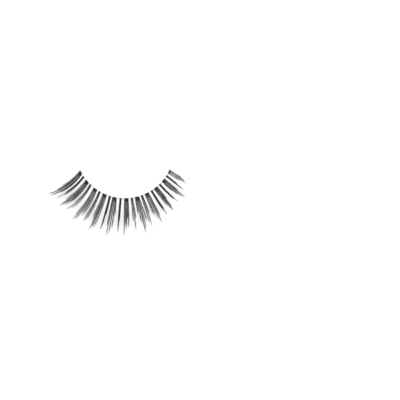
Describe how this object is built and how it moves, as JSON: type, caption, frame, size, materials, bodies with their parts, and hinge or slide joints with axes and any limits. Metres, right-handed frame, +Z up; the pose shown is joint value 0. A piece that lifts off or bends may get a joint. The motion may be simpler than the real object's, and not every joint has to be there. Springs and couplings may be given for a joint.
{
  "type": "false eyelash strip",
  "caption": "Strip of false eyelashes: tufts of black fibre, wide and narrow by turns, knotted on a clear thread that curves to the lid, longer towards the outer corner.",
  "frame": {"origin": "under the band at the lowest point of its curve, on the plane that the knots rest on", "axes": "+X along the lid from the outer corner to the inner one, +Y into the hollow of the curve, where the eye is, +Z up from the table, the way the lashes curl"},
  "size_m": [0.0419, 0.0201, 0.0046],
  "materials": {
    "lash_fibre": "fine black polyester fibre, soft satin, knotted and tapered to the tips",
    "clear_thread": "clear nylon thread, smooth and glossy"
  },
  "bodies": {
    "root": {"band": "clear_thread", "tuft_01": "lash_fibre", "tuft_02": "lash_fibre", "tuft_03": "lash_fibre", "tuft_04": "lash_fibre", "tuft_05": "lash_fibre", "tuft_06": "lash_fibre", "tuft_07": "lash_fibre", "tuft_08": "lash_fibre", "tuft_09": "lash_fibre", "tuft_10": "lash_fibre", "tuft_11": "lash_fibre", "tuft_12": "lash_fibre", "tuft_13": "lash_fibre", "tuft_14": "lash_fibre", "tuft_15": "lash_fibre", "tuft_16": "lash_fibre", "tuft_17": "lash_fibre", "tuft_18": "lash_fibre", "tuft_19": "lash_fibre", "tuft_20": "lash_fibre", "tuft_21": "lash_fibre"}
  },
  "joints": []
}
